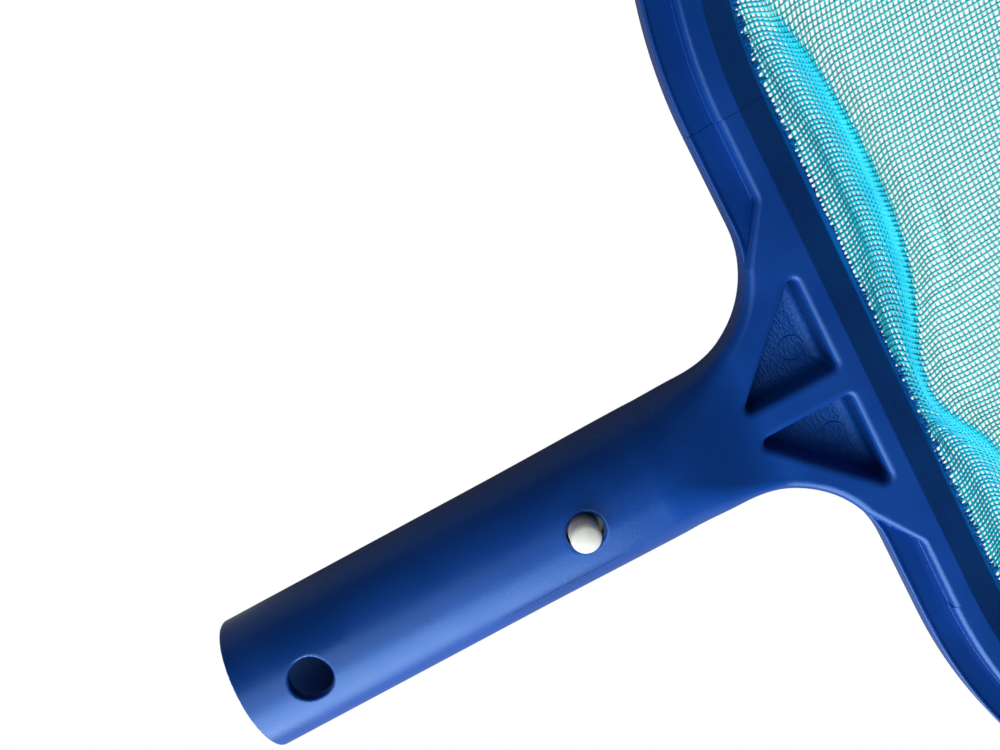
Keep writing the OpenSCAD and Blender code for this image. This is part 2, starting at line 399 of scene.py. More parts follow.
# One cyan thread in three copies that differ by painted light: the far threads are painted lighter and paler,
# the threads near the rim keep a deeper cyan, and the threads in the fold are painted brighter and more
# saturated.
WARP = net_thread("net_warp", (0.08, 0.88, 0.98), (0.12, 0.95, 1.0))
WEFT = net_thread("net_weft", (0.16, 0.95, 1.0), (0.22, 1.0, 1.0))
WARP_NEAR = net_thread("net_warp_near", (0.006, 0.60, 0.86), (0.010, 0.70, 0.95))
WEFT_NEAR = net_thread("net_weft_near", (0.012, 0.78, 0.97), (0.02, 0.88, 1.0))
WARP_FOLD_PAINTED_LIGHT = net_thread("net_warp_fold", (0.002, 0.62, 0.95), (0.003, 0.73, 1.0))
WEFT_FOLD_PAINTED_LIGHT = net_thread("net_weft_fold", (0.002, 0.76, 1.0), (0.004, 0.86, 1.0))
TOOTH_BLUE = net_thread("band_tooth", (0.002, 0.13, 0.55), (0.003, 0.26, 0.85))
IVORY = button_material()
STEEL_PAINTED_SHADE = steel_material()


# ---------------------------------------------------------------- mesh helpers
def mesh_object(name, points, faces, materials, normals=None, face_material=None):
    """A smooth-shaded mesh from points in millimetres."""
    mesh = bpy.data.meshes.new(name)
    mesh.from_pydata((np.asarray(points) * MM).tolist(), [], [list(map(int, face)) for face in faces])
    mesh.shade_smooth()
    for material in materials:
        mesh.materials.append(material)
    if face_material is not None:
        mesh.polygons.foreach_set("material_index", np.asarray(face_material, dtype=np.int32))
    mesh.update()
    if normals is not None:
        mesh.normals_split_custom_set_from_vertices(np.asarray(normals).tolist())
    piece = bpy.data.objects.new(name, mesh)
    bpy.context.scene.collection.objects.link(piece)
    return piece


def sweep(sections, closed):
    """Points and quads of a tube of equal rings; a tube that isn't closed gets caps."""
    rings, count = len(sections), len(sections[0])
    points = np.concatenate(sections)
    ring = np.arange(rings if closed else rings - 1)
    step = np.arange(count)
    a = (ring[:, None] * count + step[None, :]).ravel()
    b = (ring[:, None] * count + (step[None, :] + 1) % count).ravel()
    c = ((ring[:, None] + 1) % rings * count + (step[None, :] + 1) % count).ravel()
    d = ((ring[:, None] + 1) % rings * count + step[None, :]).ravel()
    faces = np.stack([a, b, c, d], 1).tolist()
    if not closed:
        faces.append(list(range(count))[::-1])
        faces.append([(rings - 1) * count + j for j in range(count)])
    return points, faces


def rounded_polygon(corners, radii, steps=4):
    """A closed outline with each corner, convex or concave, turned by an arc."""
    corners = [np.array(c, float) for c in corners]
    outline = []
    for index, corner in enumerate(corners):
        before = corners[index - 1] - corner
        after = corners[(index + 1) % len(corners)] - corner
        before_len, after_len = np.linalg.norm(before), np.linalg.norm(after)
        before, after = before / before_len, after / after_len
        half = math.acos(max(-1.0, min(1.0, float(before @ after)))) / 2
        cut = min(radii[index] / math.tan(half), 0.49 * before_len, 0.49 * after_len)
        radius = cut * math.tan(half)
        centre = corner + (before + after) / np.linalg.norm(before + after) * radius / math.sin(half)
        start, end = corner + before * cut - centre, corner + after * cut - centre
        sweep_angle = math.pi - 2 * half
        for step in range(steps + 1):
            share = step / steps
            mix = (math.sin((1 - share) * sweep_angle) * start + math.sin(share * sweep_angle) * end)
            outline.append(centre + mix / math.sin(sweep_angle))
    return outline


def lathe(profile, segments):
    """Points and faces of a solid turned about Z; the profile runs from axis to axis."""
    rings = [(r, z) for r, z in profile if r > 1e-6]
    points = [(0, 0, profile[0][1])]
    for r, z in rings:
        for k in range(segments):
            turn = 2 * math.pi * k / segments
            points.append((r * math.cos(turn), r * math.sin(turn), z))
    points.append((0, 0, profile[-1][1]))
    last = len(points) - 1
    faces = []
    for k in range(segments):
        n = (k + 1) % segments
        faces.append((0, 1 + n, 1 + k))
        for ring in range(len(rings) - 1):
            low, high = 1 + ring * segments, 1 + (ring + 1) * segments
            faces.append((low + k, low + n, high + n, high + k))
        top = 1 + (len(rings) - 1) * segments
        faces.append((top + k, top + n, last))
    return np.array(points, float), faces


# ---------------------------------------------------------------- the rim's outline
def outward(turn):
    return np.array([-math.cos(math.radians(turn)), math.sin(math.radians(turn))])


def along(turn):
    return np.array([math.sin(math.radians(turn)), math.cos(math.radians(turn))])


REAR_C = np.array([RIM_X + REAR_R, JOINT_Y])
REAR_CORNER_C = REAR_C + (REAR_R - REAR_CORNER_R) * outward(REAR_TURN)
FRONT_CORNER_C = (REAR_CORNER_C + (REAR_CORNER_R - FRONT_CORNER_R) * outward(SIDE_TURN)
                  + SIDE_LEN * along(SIDE_TURN))
FRONT_R = FRONT_CORNER_R + FRONT_CORNER_C[1] / math.sin(math.radians(FRONT_TURN))
FRONT_C = FRONT_CORNER_C + (FRONT_CORNER_R - FRONT_R) * outward(FRONT_TURN)
ARCS = [(REAR_C, REAR_R, 0, REAR_TURN), (REAR_CORNER_C, REAR_CORNER_R, REAR_TURN, SIDE_TURN),
        (FRONT_CORNER_C, FRONT_CORNER_R, SIDE_TURN, FRONT_TURN), (FRONT_C, FRONT_R, FRONT_TURN, 180)]


def half_rim(arc_step):
    """Stations of the +Y half, from the joint round to the middle of the front: (centre, radius, turn)."""
    stations = []
    for index, (centre, radius, start, end) in enumerate(ARCS):
        steps = max(2, math.ceil(math.radians(end - start) * radius / arc_step))
        for step in range(0 if index in (0, 2) else 1, steps + 1):
            stations.append((centre, radius, start + (end - start) * step / steps))
    return stations


def rim_path(arc_step, straight_step, closed):
    """Stations round the whole rim from the joint, as (station, side) pairs and a share between them."""
    half = half_rim(arc_step)
    ends = [(s, 1) for s in half] + [(s, -1) for s in half[-2::-1]]
    if closed:
        ends.append(ends[0])
    path = [(ends[0], ends[0], 0.0)]
    for before, after in zip(ends, ends[1:]):
        length = np.linalg.norm(rim_point(before, SLOPE_OUT) - rim_point(after, SLOPE_OUT))
        pieces = max(1, math.ceil(length / straight_step))
        path += [(before, after, piece / pieces) for piece in range(1, pieces + 1)]
    return path[:-1] if closed else path


def rim_point(end, inset):
    (centre, radius, turn), side = end
    return (centre + (radius - inset) * outward(turn)) * np.array([1, side])


def rim_line(path, inset):
    return np.array([rim_point(a, inset) * (1 - share) + rim_point(b, inset) * share for a, b, share in path])


def closed_outline(inset, arc_step):
    """The whole outline at an inset, with long straight stretches left whole."""
    return rim_line(rim_path(arc_step, 1e3, True), inset)


# ---------------------------------------------------------------- distance fields
def smoothstep(low, high, value):
    share = np.clip((value - low) / (high - low), 0, 1)
    return share * share * (3 - 2 * share)


def smooth_max(a, b, k):
    blend = np.maximum(k - np.abs(a - b), 0) / k
    return np.maximum(a, b) + blend * blend * k / 4


def smooth_min(a, b, k):
    return -smooth_max(-a, -b, k)


def polygon_distance(px, py, corners):
    """Signed distance to a polygon, negative inside."""
    nearest = np.full(np.broadcast(px, py).shape, 1e9)
    inside = np.zeros(nearest.shape, bool)
    for (ax, ay), (bx, by) in zip(corners, corners[1:] + corners[:1]):
        ex, ey = bx - ax, by - ay
        share = np.clip(((px - ax) * ex + (py - ay) * ey) / (ex * ex + ey * ey), 0, 1)
        nearest = np.minimum(nearest, (px - ax - ex * share) ** 2 + (py - ay - ey * share) ** 2)
        if ey != 0:
            crosses = (ay > py) != (by > py)
            inside ^= crosses & (px < ax + (py - ay) / ey * ex)
    return np.where(inside, -1, 1) * np.sqrt(nearest)


def rounded_prism(u, z, height, edge):
    """Upper or lower half of a plan (signed distance u) raised to a height, with its edge rounded."""
    across, above = u + edge, z - (height - edge)
    outside = np.hypot(np.maximum(across, 0), np.maximum(above, 0))
    return outside + np.minimum(np.maximum(across, above), 0) - edge


def flare_arc(last_y):
    """Points on the concave flare, from the tube to a height last_y."""
    end = math.degrees(math.asin((last_y - FLARE_C[1]) / FLARE_R)) + 360
    turns = np.radians(np.linspace(270, end, 22))
    return [(FLARE_C[0] + FLARE_R * math.cos(t), FLARE_C[1] + FLARE_R * math.sin(t)) for t in turns]


def concave_corner(before, corner, after, radius, steps=6):
    """Points of the arc that rounds one corner of a plan."""
    whole = rounded_polygon([before, corner, after], [1e-3, radius, 1e-3], steps)
    return [tuple(point) for point in whole[steps + 1:2 * steps + 2]]


FAR = 200.0
BODY_PLAN = ([(-FAR, -FAR), (-FAR, TUBE_R)] + flare_arc(V_START_Y)
             + concave_corner(flare_arc(V_START_Y)[-1], V_CORNER, (RIM_X + RIB_IN, FAR), V_CORNER_R)
             + [(RIM_X + RIB_IN, FAR), (FAR, FAR), (FAR, -FAR)])
OUTER_PLAN = ([(-FAR, -FAR), (-FAR, TUBE_R)] + flare_arc(FLARE_C[1])
              + [(RIM_X, FAR), (FAR, FAR), (FAR, -FAR)])
CORE_INNER_Y = WEB_W / 2 + POCKET_CORNER_R
CORE_OUTER_Y = WEB_W / 2 + POCKET_W - POCKET_CORNER_R
POCKET_CORE = [(POCKET_RIGHT - POCKET_LEN + POCKET_CORNER_R, CORE_INNER_Y),
               (POCKET_RIGHT - POCKET_CORNER_R, CORE_INNER_Y),
               (POCKET_RIGHT - POCKET_CORNER_R, CORE_OUTER_Y)]


def handle_field(x, y, z):
    """Signed field of the handle moulding, negative inside."""
    pocket_y, y, depth = np.abs(y + POCKET_SHIFT), np.abs(y), np.abs(z)
    drop = smoothstep(97, 124, x)
    draft = TUBE_DRAFT * smoothstep(SPIGOT_LEN - 10, BORE_END, x)
    height = (TUBE_R + draft) * (1 - drop) + RIB_H * drop
    flat_share = smoothstep(101, 129, x)
    shoulder = RIB_EDGE_R + SHOULDER_EXTRA * (1 - smoothstep(16, V_CORNER[1], y))
    keel = 4.6 + (RIB_EDGE_R - 4.6) * smoothstep(34, V_CORNER[1], y)
    body_u = polygon_distance(x, y, BODY_PLAN) - draft * (1 - drop)
    top = rounded_prism(body_u, z, height, height + (shoulder - height) * flat_share)
    bottom = rounded_prism(body_u, -z, height, height + (keel - height) * flat_share)
    body = np.maximum(top, bottom)
    rise, run = RIB_H - WEB_H, SLOPE_OUT - RIB_OUT
    slope = ((x - RIM_X - RIB_OUT) * rise + (depth - RIB_H) * run) / math.hypot(rise, run)
    body = smooth_max(smooth_max(body, slope, SLOPE_EDGE_R), x - RIM_X - SLOPE_OUT, 0.2)

    inset = -polygon_distance(x, y, OUTER_PLAN)
    web = np.maximum(0.3 - inset, x - (RIM_X + RIB_OUT))
    fall = CHANNEL_FALL * (np.clip(inset, LIP_W, RIB_IN) - LIP_W) / (RIB_IN - LIP_W)
    web = np.maximum(web, np.abs(z - CHANNEL_H + fall + CHANNEL_T / 2) - CHANNEL_T / 2)
    across = np.abs(inset - LIP_W / 2) - LIP_W / 2 + LIP_R
    up = np.abs(z - (LIP_TOP - LIP_LOW) / 2) - (LIP_TOP + LIP_LOW) / 2 + LIP_R
    lip = np.hypot(np.maximum(across, 0), np.maximum(up, 0)) + np.minimum(np.maximum(across, up), 0) - LIP_R
    flat = np.maximum(smooth_min(np.maximum(web, V_START_Y - 4 - y), lip, 0.6), TUBE_R + 3 - y)
    solid = smooth_max(smooth_min(body, flat, 0.15), y - JOINT_Y, 0.06)
    solid = smooth_max(solid, -x, 0.4)

    radius = np.hypot(y, z)
    bore = np.maximum(radius - BORE_R, x - BORE_END)
    slot = np.maximum(np.maximum(np.abs(x - BORE_END - SLOT_HALF[0] + 1) - SLOT_HALF[0], y - SLOT_HALF[1]),
                      depth - SLOT_HALF[2])
    solid = smooth_max(solid, -bore, 0.7)
    solid = np.maximum(solid, -slot)
    for hole_x, hole_r in ((LOCK_HOLE_X, LOCK_HOLE_R), (BUTTON_HOLE_X, BUTTON_HOLE_R)):
        solid = smooth_max(solid, hole_r - np.hypot(x - hole_x, y), 0.7)
    wall = polygon_distance(x, pocket_y, POCKET_CORE) - POCKET_CORNER_R + POCKET_DRAFT * (RIB_H - z)
    pocket = smooth_max(wall, POCKET_FLOOR - z, POCKET_FILLET)
    return smooth_max(solid, -pocket, POCKET_EDGE)


def grid_lines(spans):
    """Lines from (start, end, step) spans that follow each other."""
    lines = [np.linspace(a, b, max(1, round((b - a) / step)), endpoint=False) for a, b, step in spans]
    return np.concatenate(lines + [[spans[-1][1]]])


def surface_net(field, xs, ys, zs):
    """Quads round the field's zero surface, on a grid of uneven lines."""
    values = field(xs[:, None, None], ys[None, :, None], zs[None, None, :])
    inside = values < 0
    corners = [(i, j, k) for i in (0, 1) for j in (0, 1) for k in (0, 1)]
    shape = tuple(n - 1 for n in values.shape)
    count = np.zeros(shape, np.int8)
    for i, j, k in corners:
        count += inside[i:i + shape[0], j:j + shape[1], k:k + shape[2]]
    cells = np.argwhere((count > 0) & (count < 8))
    number = np.full(shape, -1, np.int64)
    number[tuple(cells.T)] = np.arange(len(cells))
    total, hits = np.zeros((len(cells), 3)), np.zeros(len(cells))
    lines = (xs, ys, zs)
    for a in corners:
        for axis in range(3):
            if a[axis]:
                continue
            b = tuple(v + (n == axis) for n, v in enumerate(a))
            ca, cb = cells + a, cells + b
            fa, fb = values[tuple(ca.T)], values[tuple(cb.T)]
            crossed = (fa < 0) != (fb < 0)
            share = np.where(crossed, fa / np.where(crossed, fa - fb, 1), 0)
            pa = np.stack([lines[n][ca[:, n]] for n in range(3)], 1)
            pb = np.stack([lines[n][cb[:, n]] for n in range(3)], 1)
            total += (pa + (pb - pa) * share[:, None]) * crossed[:, None]
            hits += crossed
    points = total / hits[:, None]
    quads = []
    for axis in range(3):
        b, c = (axis + 1) % 3, (axis + 2) % 3
        near = np.take(inside, range(values.shape[axis] - 1), axis)
        far = np.take(inside, range(1, values.shape[axis]), axis)
        edges = np.argwhere(near != far)
        edges = edges[(edges[:, b] > 0) & (edges[:, c] > 0)
                      & (edges[:, b] < values.shape[b] - 1) & (edges[:, c] < values.shape[c] - 1)]
        leaving = near[tuple(edges.T)]
        ring = []
        for step_b, step_c in ((-1, -1), (0, -1), (0, 0), (-1, 0)):
            cell = edges.copy()
            cell[:, b] += step_b
            cell[:, c] += step_c
            ring.append(number[tuple(cell.T)])
        ring = np.stack(ring, 1)
        ring[~leaving] = ring[~leaving][:, ::-1]
        quads.append(ring)
    return points, np.concatenate(quads)


def gradient(field, points, step=0.02):
    rows = []
    for axis in range(3):
        shift = np.zeros(3)
        shift[axis] = step
        rows.append(field(*(points + shift).T) - field(*(points - shift).T))
    return np.stack(rows, 1) / (2 * step)


def settle(field, points, rounds=3, longest=0.25):
    """Moves points onto the field's zero surface."""
    for _ in range(rounds):
        slope = gradient(field, points)
        move = -field(*points.T)[:, None] * slope / np.maximum((slope ** 2).sum(1), 1e-6)[:, None]
        size = np.linalg.norm(move, axis=1, keepdims=True)
        points = points + move * np.minimum(1, longest / np.maximum(size, 1e-9))
    return points


# ---------------------------------------------------------------- pieces
def ejector_marks():
    """Thin raised rings on the two pocket floors."""
    parts, faces, offset = [], [], 0
    for middle_y in EJECTOR_YS:
        rings = []
        for k in range(48):
            turn = 2 * math.pi * k / 48
            out = np.array([math.cos(turn), math.sin(turn), 0])
            middle = np.array([EJECTOR_X, middle_y, POCKET_FLOOR]) + EJECTOR_R * out
            rings.append(np.array([middle + RING_R * (math.cos(a) * out + np.array([0, 0, math.sin(a)]))
                                   for a in np.linspace(0, 2 * math.pi, 6, endpoint=False)]))
        points, quads = sweep(rings, True)
        parts.append(points)
        faces += [[v + offset for v in quad] for quad in quads]
        offset += len(points)
    return np.concatenate(parts), faces


def build_handle():
    xs = grid_lines([(-0.9, 1.5, 0.3), (1.5, 9.5, 1.6), (9.5, 21.5, 0.5), (21.5, 74.5, 4.0),
                     (74.5, 86.5, 0.5), (86.5, 96, 1.6), (96, 119, 0.7), (119, RIM_X - 3, 0.45),
                     (RIM_X - 3, RIM_X + 20, 0.34)])
    ys = grid_lines([(0, 17, 0.5), (17, 28, 0.55), (28, 45, 0.45), (45, JOINT_Y - 0.6, 1.2),
                     (JOINT_Y - 0.6, JOINT_Y + 0.6, 0.15)])
    ys = np.concatenate([-ys[:0:-1], ys])
    zs = grid_lines([(-16.2, -6.6, 0.55), (-6.6, 6.6, 0.33), (6.6, 16.2, 0.55)])
    points, quads = surface_net(handle_field, xs, ys, zs)
    points = settle(handle_field, points)
    normals = gradient(handle_field, points)
    normals /= np.maximum(np.linalg.norm(normals, axis=1, keepdims=True), 1e-9)
    middle = points[quads].mean(1)
    wall = polygon_distance(middle[:, 0], np.abs(middle[:, 1] + POCKET_SHIFT), POCKET_CORE)
    # Pocket faces get the pocket plastic with its painted shade and painted light.
    in_pocket = ((wall < POCKET_CORNER_R + 0.3)
                 & (middle[:, 2] > POCKET_FLOOR - 1) & (middle[:, 2] < RIB_H - 1.5))
    # The bore's inside gets the darker blue of painted shade.
    painted_shade_in_bore = ((np.hypot(middle[:, 1], middle[:, 2]) < BORE_R + 0.4)
               & (middle[:, 0] > 1) & (middle[:, 0] < BORE_END + 1))
    handle = mesh_object("handle_shell", points, quads, [BLUE, POCKET_BLUE_PAINTED_SHADE_AND_LIGHT, BORE_BLUE_PAINTED_SHADE], normals,
                         in_pocket + 2 * painted_shade_in_bore)
    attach(handle, "skimmer")
    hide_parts("handle_moulding")
    points, faces = ejector_marks()
    marks = mesh_object("ejector_marks", points, faces, [BLUE])
    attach(marks, "skimmer")


def rim_section():
    """The rim's section as (inset, height), with every corner rounded."""
    foot = CHANNEL_H - CHANNEL_FALL
    corners = [(0, LIP_TOP, LIP_R), (LIP_W, LIP_TOP, LIP_R), (LIP_W, CHANNEL_H, 0.3), (RIB_IN, foot, 0.12),
               (RIB_IN, RIB_H, RIB_EDGE_R), (RIB_OUT, RIB_H, 0.25), (SLOPE_OUT, WEB_H, 0.2),
               (SLOPE_OUT, -WEB_H, 0.2), (RIB_OUT, -RIB_H, 0.6), (RIB_IN, -RIB_H, 0.6),
               (RIB_IN, foot - CHANNEL_T, 0.5), (LIP_W, CHANNEL_H - CHANNEL_T, 0.3), (LIP_W, -LIP_LOW, LIP_R),
               (0, -LIP_LOW, LIP_R)]
    return rounded_polygon([(t, z) for t, z, _ in corners], [r for _, _, r in corners])


def section_normals(section):
    """Outward directions at a clockwise section's points, led by the longer edge at each."""
    edges = np.roll(section, -1, 0) - section
    edges = edges * np.linalg.norm(edges, axis=1, keepdims=True)
    across = (edges + np.roll(edges, 1, 0)) @ np.array([[0, 1], [-1, 0]])
    return across / np.linalg.norm(across, axis=1, keepdims=True)


def build_hoop():
    section = np.array(rim_section())
    path = rim_path(3.0, 12.0, False)
    leaving = section_normals(section)
    inward = rim_line(path, 1.0) - rim_line(path, 0.0)
    inward /= np.linalg.norm(inward, axis=1, keepdims=True)
    normals = [np.column_stack([leaving[:, :1] * line, leaving[:, 1]]) for line in inward]
    normals = [normals[0]] + normals + [normals[-1]]
    rows = [rim_line(path, inset) for inset in section[:, 0]]
    rings = [np.array([(row[k][0], row[k][1], z) for row, z in zip(rows, section[:, 1])])
             for k in range(len(path))]
    # A hairline bevel where the hoop meets the handle moulding.
    middle = section.mean(0)
    bevel = JOINT_BEVEL
    for index, side in ((0, 1), (-1, -1)):
        end = rings[index].copy()
        inset = section + (middle - section) * bevel / np.linalg.norm(middle - section, axis=1, keepdims=True)
        end[:, 0], end[:, 2] = RIM_X + inset[:, 0], inset[:, 1]
        first = rings[index].copy()
        first[:, 1] = side * (JOINT_Y + bevel)
        rings[index] = first
        rings = [end] + rings if index == 0 else rings + [end]
    points, faces = sweep(rings, False)
    hoop = mesh_object("hoop_shell", points, faces, [BLUE], np.concatenate(normals))
    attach(hoop, "skimmer")
    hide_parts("hoop")


def build_buttons():
    low, high = BUTTON_LOW[2], BUTTON_HIGH[2]
    crown, edge = 0.3, 1.1
    arc = [(BUTTON_R - edge + edge * math.cos(a), high - crown - edge + edge * math.sin(a))
           for a in np.radians(np.arange(0, 81, 10))]
    crown_ring = [(BUTTON_R * 0.45, high - 0.07), (BUTTON_R * 0.2, high - 0.01)]
    foot = [(0, low), (BUTTON_R + 0.15, low), (BUTTON_R + 0.15, low + 2), (BUTTON_R, low + 3)]
    profile = foot + arc + crown_ring + [(0, high)]
    points, faces = lathe(profile, 64)
    points[:, 0] += BUTTON_X
    for name, body, flip in (("button_top", "upper_button", 1), ("button_bottom", "lower_button", -1)):
        turned = points * np.array([1, flip, flip])
        piece = mesh_object(name + "_cap", turned, faces, [IVORY])
        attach(piece, body)
        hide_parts(name)


def strip_sections(line, width, thickness):
    """Rings of a flat strip along a line of (x, z) points, with slightly rounded edges."""
    line = np.array(line)
    tangents = np.gradient(line, axis=0)
    tangents /= np.linalg.norm(tangents, axis=1, keepdims=True)
    half_w, half_t, chamfer = width / 2, thickness / 2, 0.15
    corners = [(-half_w, -half_t + chamfer), (-half_w + chamfer, -half_t), (half_w - chamfer, -half_t),
               (half_w, -half_t + chamfer), (half_w, half_t - chamfer), (half_w - chamfer, half_t),
               (-half_w + chamfer, half_t), (-half_w, half_t - chamfer)]
    rings = []
    for (x, z), (tx, tz) in zip(line, tangents):
        rings.append(np.array([(x - tz * up, across, z + tx * up) for across, up in corners]))
    return rings


def build_clip():
    thickness = CLIP_THICKNESS
    width = LEG_HIGH[1] - LEG_LOW[1]
    bend_x, bend_r = BEND_LOW[0], BEND_HIGH[2] - thickness / 2
    leg_z = LEG_HIGH[2] - thickness / 2
    knee = LEG_LOW[0] + CLIP_KNEE
    leg = []
    for share in np.linspace(0, 1, 25):
        leg.append((bend_x + (knee - bend_x) * share, bend_r + (leg_z - bend_r) * share))
    for share in np.linspace(0, 1, 12)[1:]:
        leg.append((knee + (LEG_LOW[0] - knee) * share, leg_z))
    for name, flip, body in (("clip_leg_top", 1, "upper_button"), ("clip_leg_bottom", -1, "lower_button")):
        points, faces = sweep(strip_sections([(x, flip * z) for x, z in leg], width, thickness), False)
        piece = mesh_object(name + "_strip", points, faces, [STEEL_PAINTED_SHADE])
        shade_flat(piece)
        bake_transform(piece)
        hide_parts(name)
    turns = np.linspace(math.pi / 2, -math.pi / 2, 25)
    bend = [(bend_x + bend_r * math.cos(t), bend_r * math.sin(t)) for t in turns]
    points, faces = sweep(strip_sections(bend, width, thickness), False)
    piece = mesh_object("clip_bend_strip", points, faces, [STEEL_PAINTED_SHADE])
    shade_flat(piece)
    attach(piece, "skimmer")
    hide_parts("clip_bend")


def shade_flat(piece):
    for polygon in piece.data.polygons:
        polygon.use_smooth = False


def build_band():
    """The strip that holds the net, with a softly uneven inner edge."""
    inner_inset = SLOPE_OUT + 0.62 * BAND_W
    section = rounded_polygon([(SLOPE_OUT - 0.3, -WEB_H * 0.9), (inner_inset, -0.7), (inner_inset, 0.7),
                               (SLOPE_OUT - 0.3, WEB_H * 0.9)], [0.1, 0.3, 0.3, 0.1], 3)
    path = rim_path(1.1, 1.1, True)
    rows = [rim_line(path, t) for t, _ in section]
    wander = 0.10 * np.sin(np.arange(len(path)) * 2.1) + RNG.normal(0, 0.10, len(path))
    rings = []
    middle = np.array([(BAND_LOW[0] + BAND_HIGH[0]) / 2, 0.0])
    for k in range(len(path)):
        ring = []
        for (t, z), row in zip(section, rows):
            place = row[k]
            if t > SLOPE_OUT + 0.3 * BAND_W:
                towards = middle - place
                swell = 0.7 * math.exp(-((place[1] - 30) / 17) ** 2) if place[0] < BAND_LOW[0] + 4 else 0.0
                place = place + towards / np.linalg.norm(towards) * (wander[k] + swell)
            ring.append((place[0], place[1], z))
        rings.append(np.array(ring))
    points, faces = sweep(rings, True)
    band = mesh_object("edge_band_strip", points, faces, [BAND_BLUE])
    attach(band, "skimmer")
    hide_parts("edge_band")


# ---------------------------------------------------------------- the net
PITCH = 1.15
THREAD_W, THREAD_T = 0.36, 0.22
TOOTH_R = 0.135
EDGE_OVERLAP = 0.8
TOOTH_SPREAD = 0.6
NET_SAG = (NET_HIGH[2] - NET_LOW[2]) - 1.0
THREAD_START_X = NET_EDGE_X - 1.5
NEAR_STEP = 0.25
FINE_STEP, COARSE_STEP = 2.4, 6.6
NET_OUTLINE = [tuple(p) for p in closed_outline(SLOPE_OUT + BAND_W, 4.0)]
FOLD_RISE, FOLD_FALL = 2.6, 0.7
FOLD_SHEAR, FOLD_RECOVER = 3.4, 1.2
FOLD_END_Y = 92.0


def crease_line(y):
    """Distance of the net's fold from the net's rear edge, along X."""
    width = np.where(y > -13.5, 22.0, 14.0)
    return (13.2 - 9.3 * np.exp(-((y + 13.5) / width) ** 2)
            - 0.0027 * np.clip(np.abs(y) - 32, 0, 48) ** 2)


def fold_strength(y):
    return 1 - smoothstep(FOLD_END_Y - 30, FOLD_END_Y, np.abs(y))


def gather_strength(y):
    """The cloth is bunched most where the fold is highest."""
    return fold_strength(y) * (0.35 + 0.65 * np.exp(-((y - 22) / 34) ** 2))


def net_depth(x, y):
    """How far a point lies inside the net's outline."""
    return -polygon_distance(x, y, NET_OUTLINE)


def net_height(x, y):
    """The dished net, with a fold that rises from the rear edge to a crest and then falls."""
    depth = np.clip(net_depth(x, y), 0, 1e3)
    dish = -NET_SAG * 0.92 * (1 - np.clip(1 - depth / 110.0, 0, 1) ** 2)
    to_edge, crease = x - NET_EDGE_X, crease_line(y)
    past = to_edge - crease
    flank = np.minimum(4.2, 0.8 * crease)
    rise = smoothstep(-1.0, 0.05, past / flank)
    fall = smoothstep(-0.2, 6.5, past)
    dip = -1.5 * np.exp(-((past + 6.0) / 3.0) ** 2) * np.clip(crease / 12, 0, 1)
    fold = (FOLD_RISE * 0.75 * rise * np.exp(-np.maximum(past, 0) / 30)
            - FOLD_FALL * fall * np.exp(-np.maximum(past - 6, 0) / 25))
    second = 0.7 * np.exp(-((past - 9.5) / 1.6) ** 2) * np.exp(-((y - 16) / 12) ** 2)
    ripple = 0.16 * np.sin(y / 3.1 + 0.7 * np.sin(x / 7)) * np.exp(-(to_edge / 16) ** 2)
    near_edge = np.clip(depth / 3, 0, 1)
    return dish + near_edge * fold_strength(y) * (fold + dip + second) + ripple * near_edge


def net_shear(x, y):
    """How far the threads along X are dragged along Y."""
    to_edge, crease = x - NET_EDGE_X, crease_line(y)
    past = to_edge - crease
    reach = np.minimum(4.6, crease)
    drag = -FOLD_SHEAR * smoothstep(-1.0, 0.1, past / reach) + FOLD_RECOVER * smoothstep(-0.3, 5.0, past)
    lead = 1.0 * np.exp(-((past + 6.5) / 2.6) ** 2) * np.clip((crease - 5) / 7, 0, 1)
    swing = -5.0 * np.exp(-((y + 20) / 24) ** 2) * (1 - np.exp(-np.maximum(past, 0) / 22))
    return fold_strength(y) * (drag + lead + swing) * np.exp(-np.maximum(past - 10, 0) / 60)


def warp_paths():
    """Threads along X: closely spaced points near the fold, sparse ones beyond."""
    outline = np.array(NET_OUTLINE)
    front, half_w = outline[:, 0].max(), outline[:, 1].max()
    near_end = NET_EDGE_X + 27
    near = np.linspace(THREAD_START_X, near_end, 30)
    for level in np.arange(-half_w - 4 + 0.5 * PITCH, half_w + 8, PITCH):
        x = np.concatenate([near, np.linspace(near_end, front + 1, 17)[1:]])
        y = level + net_shear(x, np.full_like(x, level)) + RNG.normal(0, 0.05)
        y = y + 0.08 * np.sin(x / 17.0 + level * 1.7)
        yield clip_to_net(x, y)


